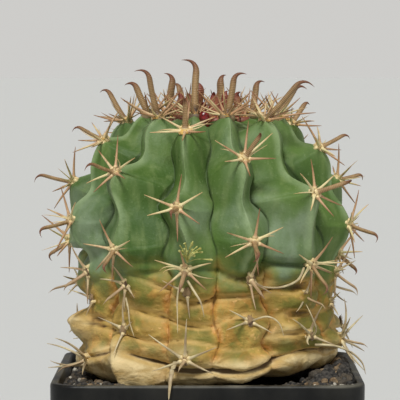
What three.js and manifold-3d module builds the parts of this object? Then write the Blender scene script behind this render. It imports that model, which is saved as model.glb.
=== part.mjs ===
// A barrel cactus with hooked spines, rooted in grit in a square nursery pot.
// Millimetres, +Z up, front towards -Y, origin at the centre of the pot's underside.

import * as THREE from 'three';
import { mergeVertices } from 'three/addons/utils/BufferGeometryUtils.js';
import Module from 'manifold-3d';

const wasm = await Module();
wasm.setup();

// Driving dimensions

const GAP = 0.3; // clearance between pieces that touch

const POT_WIDTH = 120; // across the rim, outside
const POT_HEIGHT = 112;
const POT_FOOT_WIDTH = 94;
const POT_CORNER = 11; // corner radius
const POT_WALL = 1.6;
const POT_FLOOR = 2.2;
const COLLAR_HEIGHT = 13; // the thicker band under the rim
const COLLAR_STEP = 1.5;
const DRAIN_HOLE = 9; // diameter
const DRAIN_PITCH = 52; // between drain holes
const CORNER_STEPS = 5;

const RIM_Z = POT_HEIGHT; // heights on the plant are given above the rim

const SOIL_LEVEL = -2.5; // mean level, from the rim
const SOIL_DROP = 3.5; // how far the grit may lie below that level at the wall
const SOIL_RINGS = [1, 0.93, 0.86, 0.79, 0.71, 0.6, 0.45];
const SIDE_STEPS = 8; // points along each side of a soil ring
const STONE_COUNT = 52;

// Outline of the plant through the areoles: radius and height above the rim
const ENVELOPE = [
  [0, 95], [7, 97.5], [15, 100], [24, 101.5], [32, 99.5], [40, 94.8], [46.5, 88], [52.5, 80],
  [56.8, 71], [58, 61], [57, 51], [53.2, 42.5], [50.8, 35], [50.5, 27], [52, 19], [53, 11],
  [53, 5], [50.5, -0.5], [40, -4.2], [20, -5],
];
const NECK = [[0, -27], [9, -26], [13, -18], [15, -8], [17, 3], [0, 4]]; // the root neck in the grit
const NECK_SIDES = 16;
const HOLE_CLEAR = 0.5; // the hole in the grit is this much wider than the plant
const HOLE_TOP = 20;
const HOLE_ROWS_FROM = 115; // the rows of the stem that the hole follows

// The ribs: bearing of the crest, in degrees from the front to the right; where its areoles lie,
// as the distance from the middle of the crown along the outline; for the furrow on its right, how
// many degrees it lies off the middle and how strongly it gives way to a swelling beside it; and
// how many degrees the rib drifts to the right in the corky part
const RIBS = [
  { bearing: -103, areoles: [13, 35, 69, 93, 110, 128], off: 0, swing: 2.2, drift: 4 },
  { bearing: -73, areoles: [10, 25, 47, 83, 104, 115, 139], off: 1, swing: 2.4, drift: 9 },
  { bearing: -43, areoles: [14, 29, 62, 93, 108, 125], off: 5.5, swing: 1.7, drift: 4.5 },
  { bearing: -13, areoles: [8, 21, 40.5, 76, 101, 110, 136], off: -1, swing: 0.8, drift: 4 },
  { bearing: 17, areoles: [12, 26, 55, 89, 105, 121], off: -6.5, swing: 1.7, drift: 1.5 },
  { bearing: 47, areoles: [9, 32, 71, 100, 113, 129], off: 1, swing: 2.4, drift: 2 },
  { bearing: 77, areoles: [14, 29, 51, 85, 105, 117, 134], off: -2, swing: 1.6, drift: -2 },
  { bearing: 107, areoles: [10, 37, 68, 99, 112, 128], off: 3, swing: 2.3, drift: -4 },
  { bearing: 137, areoles: [13, 27, 57, 90, 105, 119, 135], off: -3, swing: 2, drift: 2 },
  { bearing: 167, areoles: [9, 24, 40, 74, 99, 112, 127], off: 1, swing: 1.2, drift: 5 },
  { bearing: 197, areoles: [14, 31, 60, 92, 107, 122, 138], off: 3, swing: 2.4, drift: -3 },
  { bearing: 227, areoles: [10, 22, 44, 80, 103, 116, 134], off: -2, swing: 1.8, drift: 3 },
];
const RIB_STARTS = 12; // a rib starts this far above its first areole
const RIB_ENDS = 15; // and ends this far below its last one
const NOTCH_SHARE = 0.23; // how deep a crest dips between two areoles, as a share of their distance
const SWELLING_LEAD = 0.12; // how far above its areole a swelling is widest, as such a share
const CREST_YIELD = 0.35; // how far a dipped crest follows the furrows beside it
const FURROW_DEPTH = 12.5;
const CORKY_FURROW_DEPTH = 3.2;
const CORK_STARTS = 98; // distance along the outline where the ribs begin to turn into corky lumps
const CORK_COMPLETE = 110;

// Corky creases across the ribs: where each lies along the outline, and how it fades around the stem
const FOLDS = [
  { at: 101, waves: 3, phase: 0.4 },
  { at: 109, waves: 2, phase: 1.2 },
  { at: 118.5, waves: 3, phase: 2 },
  { at: 128, waves: 2, phase: 3.5 },
  { at: 137.5, waves: 1, phase: 1.5 },
];
const FOLD_DEPTH = 3.8;
const FOLD_REACH = 7; // the first crease begins this far above its place
const FOLD_END = 4; // and the last one ends this far below
const LUMP_SHIFT = 2.6; // how far the folds lie off their place on the crest of a rib

// Swollen lobes of the old base: bearing, distance along the outline, their half widths in degrees
// and in millimetres, and how far they stand out
const LOBES = [
  [-96, 108, 20, 7, 2], [-78, 126, 15, 5.5, 5], [-47, 136, 12, 5, 4.5], [-28, 143, 8, 9, 5],
  [-12, 133, 8, 5, 3], [17, 141.5, 15, 4.5, 4.6], [35, 127, 12, 5, 2.6], [76, 136, 15, 6, 2.4],
  [90, 110, 20, 8, 1.6], [108, 127, 13, 6, 3.4], [140, 139, 13, 6, 4.2], [168, 126, 14, 6, 2.8],
  [196, 139, 13, 6, 4.2], [226, 128, 13, 7, 3.2], [-118, 141, 14, 6, 4],
];
const BASE_LIFT = 5; // how much higher the base is on the right, where it overhangs the grit
const BASE_LIFT_BEARING = 62;

// Rows and columns of the faceted stem
const ROWS = [
  5, 10, 16, 22, 28, 34, 40, 46, 52, 58, 64, 70, 76, 82, 88, 95, 101, 105, 109, 113.5, 118.5, 123,
  128, 132.5, 137.5, 142, 147, 153,
];
const ACROSS = [-1, -0.66, -0.3, 0, 0.3, 0.66]; // from one furrow to the next, the crest at 0

const SPINE_SIDES = 3;
const ROOT_SINK = 2.4; // how deep a spine is rooted
const ROOT_RING = 1.6; // how far from the middle of the areole a radial spine starts
const RADIAL_WIDTH = 1.1;
const RADIAL_ANGLES = [0, 62, 118, 180, 242, 298];
const RADIAL_LENGTHS = [13.5, 12.8, 11.5, 12.5, 12, 12.8];
const CENTRAL_WIDTH = 1.9;
const CROWN_CENTRAL_WIDTH = 3;
const HOOK_START = 0.62; // share of a hooked spine's length where its hook begins
const RIM_CLEAR = 1.2; // spines pass this far over the rim
const SOIL_CLEAR = 2.5; // and this far over the grit
const RAISE_STEP = 0.15; // a spine in the way of the rim or the grit is turned up in such steps
const MOST_RAISED = 3;

// Hooked spines that don't point down their rib
const HOOKS = [
  { rib: 1, areole: 1, angle: 197, lift: 62, length: 18.5 },
  { rib: 2, areole: 1, angle: 227, lift: 83, length: 25.5 },
  { rib: 3, areole: 1, angle: 257, lift: 84, length: 25 },
  { rib: 4, areole: 1, angle: 107, lift: 76, length: 19.5 },
  { rib: 5, areole: 1, angle: 137, lift: 60, length: 24 },
  { rib: 6, areole: 1, angle: 167, lift: 66, length: 18 },
  { rib: 4, areole: 2, angle: 52, lift: 62, length: 15 },
  { rib: 5, areole: 2, angle: 84, lift: 58, length: 16.5 },
  { rib: 3, areole: 2, angle: 8, lift: 72, length: 14 },
];

// The flat old spine at the front that bends down over the rim; heights are from the rim
const RIM_SPINE = [
  [-11.5, -47, 7.5], [-12.2, -53, 8], [-13.2, -58, 6], [-14, -61.6, 1.8], [-14.6, -62.8, -5],
];
const RIM_SPINE_WIDTH = 2.4;

const FRUIT_BEARING = -3;
const FRUIT_FROM_AXIS = 23;
const FRUIT_HEIGHT = 98.5;

// Small helpers

const radians = THREE.MathUtils.degToRad;
const mix = THREE.MathUtils.lerp;
const ramp = (x, from, to) => THREE.MathUtils.smoothstep(x, from, to);

// A repeatable draw from 0 to 1 for a pair of numbers
function draw(a, b) {
  const x = Math.sin(a * 12.9898 + b * 78.233 + 4.1) * 43758.5453;
  return x - Math.floor(x);
}

// A repeatable draw from -1 to 1
const sway = (a, b) => 2 * draw(a, b) - 1;

function around(bearing, radius, z) {
  return new THREE.Vector3(radius * Math.sin(bearing), -radius * Math.cos(bearing), z);
}

// A closed geometry, turned so that its faces point out
function facingOut(geometry) {
  const { array } = geometry.attributes.position;
  const index = geometry.index.array;
  const corner = (i) => new THREE.Vector3().fromArray(array, 3 * index[i]);
  let volume = 0;
  for (let i = 0; i < index.length; i += 3) {
    volume += corner(i).dot(corner(i + 1).cross(corner(i + 2)));
  }
  if (volume < 0) {
    index.reverse();
  }
  return geometry;
}

// Rings of equally many points joined into one closed skin, with a middle point at each end
function loft(rings, start, end) {
  const count = rings[0].length;
  const points = [...rings.flat(), start, end];
  const first = points.length - 2;
  const last = points.length - 1;
  const triangles = [];
  for (let j = 0; j < count; j += 1) {
    const next = (j + 1) % count;
    triangles.push([first, next, j]);
    for (let i = 0; i + 1 < rings.length; i += 1) {
      const here = i * count;
      const there = here + count;
      triangles.push([here + j, here + next, there + next], [here + j, there + next, there + j]);
    }
    const top = (rings.length - 1) * count;
    triangles.push([last, top + j, top + next]);
  }
  const geometry = new THREE.BufferGeometry().setFromPoints(points);
  geometry.setIndex(triangles.flat());
  return facingOut(geometry);
}

function toSolid(geometry) {
  const bare = geometry.clone();
  bare.deleteAttribute('normal');
  bare.deleteAttribute('uv');
  const merged = facingOut(mergeVertices(bare, 1e-4));
  const vertProperties = new Float32Array(merged.attributes.position.array);
  const triVerts = new Uint32Array(merged.index.array);
  return new wasm.Manifold(new wasm.Mesh({ numProp: 3, vertProperties, triVerts }));
}

// The outer skin of a solid alone: sealed hollows are filled and loose scraps dropped
function toGeometry(solid) {
  const skins = solid.decompose().sort((a, b) => b.volume() - a.volume());
  const mesh = skins[0].getMesh();
  const geometry = new THREE.BufferGeometry();
  geometry.setAttribute('position', new THREE.BufferAttribute(mesh.vertProperties, 3));
  geometry.setIndex(new THREE.BufferAttribute(mesh.triVerts, 1));
  return geometry;
}

// Many solids joined in pairs, then in pairs of pairs
function joinAll(solids) {
  let left = solids;
  while (left.length > 1) {
    const joined = [];
    for (let i = 0; i < left.length; i += 2) {
      joined.push(i + 1 < left.length ? left[i].add(left[i + 1]) : left[i]);
    }
    left = joined;
  }
  return left[0];
}

function piece(name, geometry, color, roughness) {
  const mesh = new THREE.Mesh(geometry, new THREE.MeshStandardMaterial({ color, roughness }));
  mesh.name = name;
  mesh.material.name = name;
  mesh.geometry.computeVertexNormals();
  return mesh;
}

// The pot

// A square with round corners, as a ring of points; sideSteps adds points along the straight sides
function squareRing(half, corner, z, sideSteps = 1) {
  const ring = [];
  for (let side = 0; side < 4; side += 1) {
    const turn = new THREE.Matrix4().makeRotationZ(side * Math.PI / 2);
    for (let i = 0; i <= CORNER_STEPS; i += 1) {
      const angle = -Math.PI / 2 + (i / CORNER_STEPS) * (Math.PI / 2);
      const x = half - corner + corner * Math.cos(angle);
      const y = -half + corner + corner * Math.sin(angle);
      ring.push(new THREE.Vector3(x, y, z).applyMatrix4(turn));
    }
    for (let i = 1; i < sideSteps; i += 1) {
      const y = mix(-half + corner, half - corner, i / sideSteps);
      ring.push(new THREE.Vector3(half, y, z).applyMatrix4(turn));
    }
  }
  return ring;
}

// Half the width of the pot's plain wall outside, at height z
function wallHalf(z) {
  return mix(POT_FOOT_WIDTH, POT_WIDTH - 2 * COLLAR_STEP, z / POT_HEIGHT) / 2;
}

function makePot() {
  const rimHalf = POT_WIDTH / 2;
  const collarZ = POT_HEIGHT - COLLAR_HEIGHT;
  const rings = [
    squareRing(wallHalf(0) - 2, POT_CORNER - 2, 0),
    squareRing(wallHalf(2), POT_CORNER, 2),
    squareRing(wallHalf(collarZ), POT_CORNER, collarZ),
    squareRing(rimHalf - 0.4, POT_CORNER, collarZ + 1),
    squareRing(rimHalf, POT_CORNER, POT_HEIGHT - 0.6),
    squareRing(rimHalf - 0.6, POT_CORNER - 0.6, POT_HEIGHT),
    squareRing(wallHalf(POT_HEIGHT) - POT_WALL, POT_CORNER - POT_WALL, POT_HEIGHT),
    squareRing(wallHalf(POT_FLOOR) - POT_WALL, POT_CORNER - POT_WALL, POT_FLOOR),
  ];
  const shell = loft(rings, new THREE.Vector3(0, 0, 0), new THREE.Vector3(0, 0, POT_FLOOR));
  let pot = toSolid(shell);
  for (const [sideX, sideY] of [[-1, -1], [1, -1], [1, 1], [-1, 1]]) {
    const drill = new THREE.CylinderGeometry(DRAIN_HOLE / 2, DRAIN_HOLE / 2, 3 * POT_FLOOR, 16);
    drill.rotateX(Math.PI / 2);
    drill.translate(sideX * DRAIN_PITCH / 2, sideY * DRAIN_PITCH / 2, POT_FLOOR / 2);
    pot = pot.subtract(toSolid(drill));
  }
  return piece('pot', toGeometry(pot), 0x1d1f1f, 0.55);
}

// The plant's form

const envelope = new THREE.SplineCurve(ENVELOPE.map(([r, h]) => new THREE.Vector2(r, h)));
envelope.arcLengthDivisions = 800;
const ENVELOPE_LENGTH = envelope.getLength();

// A point of the outline at distance s from the middle of the crown, and its outward direction
function envelopeAt(s) {
  const share = THREE.MathUtils.clamp(s / ENVELOPE_LENGTH, 0, 1);
  const point = envelope.getPointAt(share);
  const tangent = envelope.getTangentAt(share);
  return { r: point.x, h: point.y, nr: -tangent.y, nh: tangent.x };
}

// Where s lies between two areoles of a rib: 0 at the upper one, 1 at the lower one
function phaseOf(rib, s) {
  const stops = [rib.areoles[0] - RIB_STARTS, ...rib.areoles, rib.areoles.at(-1) + RIB_ENDS];
  const next = stops.findIndex((stop) => stop > s);
  if (next <= 0) {
    return { t: next === 0 ? 0 : 1, gap: RIB_STARTS };
  }
  const gap = stops[next] - stops[next - 1];
  return { t: (s - stops[next - 1]) / gap, gap };
}

// How much room a rib takes at s: 1 beside an areole, -1 halfway between two
const swelling = (rib, s) => Math.cos(2 * Math.PI * (phaseOf(rib, s).t + SWELLING_LEAD));

// How far a crest dips at phase t: 0 at both areoles, 1 where it is deepest
const dip = (t) => Math.sin(Math.PI * t ** 1.4) ** 1.5;

const ribAt = (k) => RIBS[(k + RIBS.length) % RIBS.length];

function furrowDepth(s, r) {
  const depth = mix(mix(0, FURROW_DEPTH, ramp(s, 2, 58)), CORKY_FURROW_DEPTH, ramp(s, 68, 112));
  return Math.min(depth, 0.36 * r) * (1 - 0.6 * ramp(s, 134, 150));
}

// How many degrees the furrow between rib k and the next one lies off the middle
function furrowShift(k, s) {
  const { off, swing } = ribAt(k);
  const push = (swelling(ribAt(k), s) - swelling(ribAt(k + 1), s)) * (1 - 0.6 * ramp(s, 76, 100));
  return (off + swing * push) * ramp(s, 12, 40);
}

// How many degrees rib k has drifted to the right at s
const driftOf = (k, s) => ribAt(k).drift * ramp(s, 60, 105);

// How many degrees the crest of rib k gives way between its areoles
function crestShift(k, s) {
  return CREST_YIELD * dip(phaseOf(ribAt(k), s).t) * (furrowShift(k - 1, s) + furrowShift(k, s));
}

// The corky base is wrinkled: its rows run up and down by this much
function wrinkle(bearing, v) {
  const wave = 2.2 * Math.sin(bearing + 0.6) + 1.6 * Math.sin(3 * bearing + 1)
    + Math.sin(5 * bearing + 2.2);
  return wave * ramp(v, 86, 100) * (1 - ramp(v, 140, 153));
}

// Depth of the corky folds: 0 on the back of a fold, deepest in its crease
function foldDepth(bearing, v) {
  const distance = (fold) => Math.abs(v - fold.at);
  const nearest = FOLDS.reduce((best, fold) => (distance(fold) < distance(best) ? fold : best));
  const uneven = 0.6 + 0.4 * Math.sin(nearest.waves * bearing + nearest.phase);
  const first = FOLDS[0].at;
  const last = FOLDS.at(-1).at;
  const next = FOLDS.findIndex((fold) => fold.at >= v);
  let depth;
  if (v <= first) {
    depth = ramp(v, first - FOLD_REACH, first) ** 2;
  } else if (v > last) {
    depth = 1 - ramp(v, last, last + FOLD_END);
  } else {
    const share = (v - FOLDS[next - 1].at) / (FOLDS[next].at - FOLDS[next - 1].at);
    depth = 1 - Math.sqrt(Math.max(0, 4 * share * (1 - share)));
  }
  return FOLD_DEPTH * depth * uneven;
}

// How far the folds lie off their place on the crest of rib k
function lumpShift(k, v) {
  return LUMP_SHIFT * Math.sin(0.2 * v + 2.4 * k) * ramp(v, 92, 104) * (1 - ramp(v, 136, 148));
}

function lobeHeight(bearing, s) {
  let height = 0;
  for (const [middle, place, wide, tall, reach] of LOBES) {
    const turn = THREE.MathUtils.euclideanModulo(THREE.MathUtils.radToDeg(bearing) - middle + 180, 360) - 180;
    height += reach * Math.exp(-((turn / wide) ** 2) - ((s - place) / tall) ** 2);
  }
  return height;
}

function baseLift(bearing, s) {
  const share = Math.max(0, Math.cos(bearing - radians(BASE_LIFT_BEARING))) ** 2;
  return BASE_LIFT * share * ramp(s, 122, 146);
}

// A point of the skin: across runs from -1 to 1 over rib k, v is the row, clear is added outside
function skinPoint(k, across, v, clear = 0) {
  const rib = RIBS[k];
  const halfPitch = 180 / RIBS.length;
  const before = (driftOf(k - 1, v) + driftOf(k, v)) / 2 + furrowShift(k - 1, v) - halfPitch;
  const after = (driftOf(k, v) + driftOf(k + 1, v)) / 2 + furrowShift(k, v) + halfPitch;
  const crest = driftOf(k, v) + crestShift(k, v);
  const width = Math.abs(across);
  const bearing = radians(rib.bearing + mix(crest, across < 0 ? before : after, width));
  const s = v + wrinkle(bearing, v);
  const { r, h, nr, nh } = envelopeAt(s);
  const { t, gap } = phaseOf(rib, s);
  const notch = dip(t) * NOTCH_SHARE * gap * ramp(s, 4, 24) * (1 - 0.55 * ramp(s, 64, 84));
  const flank = width ** mix(1.55, 1.1, ramp(t, 0.3, 0.9));
  const side = mix(flank, width ** 3, ramp(s, CORK_STARTS, CORK_COMPLETE));
  const folds = foldDepth(bearing, v + lumpShift(k, v) * (1 - width ** 2)) * ramp(v, 92, 99);
  const inset = notch * (1 - 0.7 * width ** 1.3) + furrowDepth(s, r) * side
    + folds - lobeHeight(bearing, s) - clear;
  return around(bearing, Math.max(0, r - nr * inset), RIM_Z + h - nh * inset + baseLift(bearing, s));
}

function skinRings(rows, clear = 0) {
  return rows.map((v) => RIBS.flatMap((_, k) => ACROSS.map((across) => skinPoint(k, across, v, clear))));
}

function makeBody() {
  const apex = new THREE.Vector3(0, 0, RIM_Z + ENVELOPE[0][1] - 0.5);
  const under = new THREE.Vector3(0, 0, RIM_Z + ENVELOPE.at(-1)[1] + 0.5);
  return loft(skinRings(ROWS), apex, under);
}

// Spines

// The place of an areole and its directions: out of the skin, up along the rib, and to the right
function areoleFrame(k, index) {
  const rib = RIBS[k];
  const s = rib.areoles[index];
  const bearing = radians(rib.bearing + driftOf(k, s));
  const { r, h, nr, nh } = envelopeAt(s);
  const lobe = lobeHeight(bearing, s);
  const radial = around(bearing, 1, 0);
  const up = new THREE.Vector3(0, 0, 1);
  return {
    s,
    seed: 20 * k + index,
    hooked: HOOKS.find((hook) => hook.rib === k && hook.areole === index),
    place: around(bearing, r + nr * lobe, RIM_Z + h + nh * lobe + baseLift(bearing, s)),
    out: radial.clone().multiplyScalar(nr).addScaledVector(up, nh),
    along: radial.clone().multiplyScalar(-nh).addScaledVector(up, nr),
    right: new THREE.Vector3(Math.cos(bearing), Math.sin(bearing), 0),
  };
}

// A direction that leans from the skin: angle is clockwise from up along the rib, lift is off the skin
function lean(frame, angle, lift) {
  const flat = Math.cos(radians(lift));
  return frame.out.clone().multiplyScalar(Math.sin(radians(lift)))
    .addScaledVector(frame.along, flat * Math.cos(radians(angle)))
    .addScaledVector(frame.right, flat * Math.sin(radians(angle)));
}

// The line of a spine, which bends by curve over its length and by hook near its tip, in degrees
function spineLine(spine, shares) {
  const FINE_STEPS = 48;
  const point = spine.start.clone();
  const line = [point.clone()];
  for (let i = 0; i < FINE_STEPS; i += 1) {
    const share = (i + 0.5) / FINE_STEPS;
    const angle = radians(spine.curve * share + spine.hook * ramp(share, HOOK_START, 1));
    point.addScaledVector(spine.direction, Math.cos(angle) * spine.length / FINE_STEPS);
    point.addScaledVector(spine.bend, Math.sin(angle) * spine.length / FINE_STEPS);
    line.push(point.clone());
  }
  return shares.map((share) => line[Math.round(share * FINE_STEPS)]);
}

// A few-sided skin along a line to a sharp tip, with half the width at each station
function spike(line, halves, flatAxis, flatness) {
  const rings = line.slice(0, -1).map((station, i) => {
    const heading = line[i + 1].clone().sub(line[Math.max(0, i - 1)]).normalize();
    const thin = heading.clone().cross(flatAxis).normalize();
    return Array.from({ length: SPINE_SIDES }, (_, j) => {
      const angle = 2 * Math.PI * (j + 0.25) / SPINE_SIDES;
      return station.clone().addScaledVector(flatAxis, halves[i] * Math.cos(angle))
        .addScaledVector(thin, halves[i] * flatness * Math.sin(angle));
    });
  });
  return loft(rings, line[0], line.at(-1));
}

// One spine as a solid: a root ring in the flesh, rings where it hooks, and a sharp tip
function spineGeometry(spine, frame) {
  const shares = spine.hook === 0 ? [0, 1] : [0, 0.6, 0.84, 1];
  const line = spineLine(spine, shares);
  line[0].addScaledVector(frame.out, -ROOT_SINK);
  const flatAxis = spine.direction.clone().cross(spine.bend).normalize();
  const halves = shares.map((share) => spine.width / 2 * (1 - 0.1 * share - 0.72 * ramp(share, HOOK_START, 1)));
  return spike(line, halves, flatAxis, spine.flatness);
}

function rimSpineGeometry() {
  const line = RIM_SPINE.map(([x, y, z]) => new THREE.Vector3(x, y, RIM_Z + z));
  const halves = line.map((_, i) => RIM_SPINE_WIDTH / 2 * (1 - 0.12 * i));
  return spike(line, halves, new THREE.Vector3(1, 0, 0), 0.5);
}

// Whether a spine passes clear of the grit and the rim
function isClear(spine) {
  return spineLine(spine, [0.3, 0.4, 0.5, 0.6, 0.7, 0.8, 0.9, 1]).every((point) => {
    const reach = Math.max(Math.abs(point.x), Math.abs(point.y));
    const beyondRim = reach > POT_WIDTH / 2 + 1;
    const overRim = reach > POT_WIDTH / 2 - 5 && point.z > RIM_Z + RIM_CLEAR;
    const overSoil = reach <= POT_WIDTH / 2 - 5 && point.z > soilTop(point.x, point.y) + SOIL_CLEAR;
    return beyondRim || overRim || overSoil;
  });
}

// Spines near the grit and the rim are turned up until they pass clear of both
function makeSpine(frame, seed, { angle, lift, length, width, curve = 0, hook = 0, flatness = 1 }) {
  const toSide = lean(frame, angle, 0);
  const start = frame.place.clone().addScaledVector(toSide, hook === 0 ? ROOT_RING : 0.2);
  const bend = lean(frame, angle > 90 && angle < 270 ? angle : angle + 180, 0);
  const spine = { start, length: length * (1 + 0.1 * sway(seed, 7)), width, curve, hook, flatness };
  for (let raised = 0; raised < MOST_RAISED; raised += RAISE_STEP) {
    spine.direction = lean(frame, angle, lift).add(new THREE.Vector3(0, 0, raised)).normalize();
    spine.bend = bend.clone().addScaledVector(spine.direction, -bend.dot(spine.direction)).normalize();
    if (frame.s <= CORK_COMPLETE || isClear(spine)) {
      break;
    }
  }
  return spine;
}

// The radial spines and the hooked one of an areole; the corky part has lost many
function spinesOf(frame) {
  const { s, seed } = frame;
  const crown = 1 - ramp(s, 16, 46);
  const corky = ramp(s, CORK_STARTS, CORK_COMPLETE);
  const foot = ramp(s, 124, 132);
  const young = 1 - ramp(s, 8, 20);
  const spines = [];
  RADIAL_ANGLES.forEach((angle, i) => {
    const lost = draw(seed, i + 50) < 0.55 * corky * (1 - foot);
    if (lost || (young > 0.3 && i % 2 === 1) || (i === 3 && s < 20)) {
      return;
    }
    spines.push(makeSpine(frame, seed * 7 + i, {
      angle: angle + 12 * sway(seed, i),
      lift: mix(20, 40, Math.max(crown, 0.5 * corky)) + 9 * sway(seed, i + 10),
      length: RADIAL_LENGTHS[i] * mix(1, 0.62, young) * mix(1, 0.8, corky) * mix(1, 1.5, foot),
      width: RADIAL_WIDTH * mix(1, 0.85, corky) * mix(1, 1.25, foot),
      curve: (14 + 26 * corky) * sway(seed, i + 70),
    }));
  });
  if (corky < 0.5 || seed % 2 === 0) {
    const usual = {
      angle: 180 + 40 * sway(seed, 21),
      lift: mix(70, 84, crown) + 5 * sway(seed, 22),
      length: mix(16.5, 21, crown) * mix(1, 0.5, young) * mix(1, 0.8, corky) * (0.9 + 0.12 * sway(seed, 23)),
    };
    const { angle, lift, length } = frame.hooked ?? usual;
    spines.push(makeSpine(frame, seed * 7 + 6, {
      angle,
      lift,
      length,
      width: mix(CENTRAL_WIDTH, CROWN_CENTRAL_WIDTH, crown) * mix(1, 0.6, corky),
      curve: -14,
      hook: 105 * mix(1, 0.4, corky),
      flatness: 0.78,
    }));
  }
  return spines;
}

// The young fruit in the crown
function makeBud() {
  const bud = new THREE.LatheGeometry(
    [[0, -3], [1.4, -2.5], [2.2, 0.5], [2, 2.8], [0, 5]].map(([r, z]) => new THREE.Vector2(r, z)), 7,
  );
  bud.rotateX(Math.PI / 2);
  const { x, y, z } = around(radians(FRUIT_BEARING), FRUIT_FROM_AXIS, RIM_Z + FRUIT_HEIGHT);
  return bud.translate(x, y, z);
}

function makeStem() {
  const neck = new THREE.LatheGeometry(NECK.map(([r, h]) => new THREE.Vector2(r, h)), NECK_SIDES);
  neck.rotateX(Math.PI / 2).translate(0, 0, RIM_Z);
  const solids = [toSolid(makeBody()), toSolid(neck), toSolid(makeBud()), toSolid(rimSpineGeometry())];
  RIBS.forEach((rib, k) => {
    rib.areoles.forEach((_, index) => {
      const frame = areoleFrame(k, index);
      for (const spine of spinesOf(frame)) {
        solids.push(toSolid(spineGeometry(spine, frame)));
      }
    });
  });
  return piece('stem', toGeometry(joinAll(solids)), 0x5a8050, 0.6);
}

// The grit

// Height of the grit, which is heaped on the right and hollow at the back left
function soilTop(x, y) {
  const heap = 5.5 * Math.exp(-(((x - 50) / 16) ** 2) - (((y + 8) / 40) ** 2));
  const hollow = 3.5 * Math.exp(-(((x + 50) / 20) ** 2) - (((y - 25) / 35) ** 2));
  return RIM_Z + SOIL_LEVEL + heap - hollow;
}

function makeSoil() {
  const wallTop = RIM_Z + SOIL_LEVEL;
  const half = (z) => wallHalf(z) - POT_WALL - GAP;
  const corner = POT_CORNER - POT_WALL - GAP;
  const floor = squareRing(half(POT_FLOOR + GAP), corner, POT_FLOOR + GAP, SIDE_STEPS);
  const tops = SOIL_RINGS.map((scale, i) => {
    const ring = squareRing(half(wallTop - SOIL_DROP), corner, wallTop, SIDE_STEPS);
    return ring.map((point, j) => {
      const spread = i === 0 ? 1 : scale + 0.02 * sway(i, j);
      const x = point.x * spread;
      const y = point.y * spread;
      return new THREE.Vector3(x, y, soilTop(x, y) + 0.9 * sway(j, i + 3));
    });
  });
  const block = loft(
    [floor, ...tops],
    new THREE.Vector3(0, 0, POT_FLOOR + GAP),
    new THREE.Vector3(0, 0, wallTop - 2),
  );
  const stones = [];
  for (let i = 0; stones.length < STONE_COUNT; i += 1) {
    const reach = half(wallTop) - 3;
    const x = reach * sway(i, 1);
    const y = reach * sway(i, 2);
    if (Math.hypot(x, y) < 53) {
      continue;
    }
    const size = mix(1.7, 2.7, draw(i, 3));
    const stone = new THREE.IcosahedronGeometry(size, 0);
    stone.scale(mix(0.8, 1.2, draw(i, 4)), 1, mix(0.6, 0.9, draw(i, 5)));
    stone.rotateX(6 * draw(i, 6)).rotateZ(6 * draw(i, 7));
    stone.translate(x, y, soilTop(x, y) + 0.35 * size);
    stones.push(toSolid(stone));
  }
  return piece('soil', toGeometry(joinAll([toSolid(block), ...stones]).subtract(plantHole())), 0x4a443c, 0.95);
}

// The hole that the plant's base and its root neck stand in
function plantHole() {
  const inGrit = ROWS.filter((v) => v > HOLE_ROWS_FROM);
  const above = new THREE.Vector3(0, 0, RIM_Z + HOLE_TOP);
  const under = new THREE.Vector3(0, 0, RIM_Z + ENVELOPE.at(-1)[1] - 2 * HOLE_CLEAR);
  const base = loft(skinRings(inGrit, HOLE_CLEAR), above, under);
  const profile = NECK.map(([r, h]) => new THREE.Vector2(r ? r + HOLE_CLEAR : 0, h - HOLE_CLEAR));
  const neck = new THREE.LatheGeometry(profile, NECK_SIDES);
  return toSolid(base).add(toSolid(neck.rotateX(Math.PI / 2).translate(0, 0, RIM_Z)));
}

const cactus = new THREE.Group();
cactus.add(makePot(), makeSoil(), makeStem());

export default cactus;
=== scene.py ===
# A barrel cactus with hooked spines in a square nursery pot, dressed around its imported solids.
# The forms are worked out in millimetres, with heights on the plant given above the pot's rim,
# and scaled to metres where they enter Blender.

import math

import bmesh
import bpy
import numpy as np
from mathutils import Euler, Matrix, Vector, noise


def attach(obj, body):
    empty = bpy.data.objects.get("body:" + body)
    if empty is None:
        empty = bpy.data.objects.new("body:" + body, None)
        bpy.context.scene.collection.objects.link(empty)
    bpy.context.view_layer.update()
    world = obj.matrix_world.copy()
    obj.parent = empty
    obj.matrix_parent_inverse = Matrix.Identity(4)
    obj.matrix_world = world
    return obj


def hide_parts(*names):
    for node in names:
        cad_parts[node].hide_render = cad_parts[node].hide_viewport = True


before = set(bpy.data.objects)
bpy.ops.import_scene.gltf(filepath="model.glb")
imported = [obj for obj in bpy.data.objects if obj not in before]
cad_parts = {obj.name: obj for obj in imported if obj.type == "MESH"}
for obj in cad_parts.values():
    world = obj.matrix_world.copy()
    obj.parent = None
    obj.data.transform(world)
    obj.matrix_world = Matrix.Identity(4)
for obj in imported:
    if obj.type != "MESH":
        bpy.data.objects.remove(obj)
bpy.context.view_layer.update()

# Sizes that repeat those of the solids

GAP = 0.3
POT_WIDTH = 120.0
POT_HEIGHT = 112.0
POT_FOOT_WIDTH = 94.0
POT_CORNER = 11.0
POT_WALL = 1.6
POT_FLOOR = 2.2
COLLAR_HEIGHT = 13.0
COLLAR_STEP = 1.5
DRAIN_HOLE = 9.0
DRAIN_PITCH = 52.0
RIM_Z = POT_HEIGHT
SOIL_LEVEL = -2.5
# The heap of grit at the right and the hollow at the left: middle across and back, how far it spreads
# in both directions, and how high it rises
SOIL_HEAPS = [(50, -8, 16, 40, 5.5), (-50, 25, 20, 35, -3.5)]

# Outline of the plant through the areoles: radius and height above the rim
ENVELOPE = [
    (0, 95), (7, 97.5), (15, 100), (24, 101.5), (32, 99.5), (40, 94.8), (46.5, 88), (52.5, 80),
    (56.8, 71), (58, 61), (57, 51), (53.2, 42.5), (50.8, 35), (50.5, 27), (52, 19), (53, 11),
    (53, 5), (50.5, -0.5), (40, -4.2), (20, -5),
]

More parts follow.
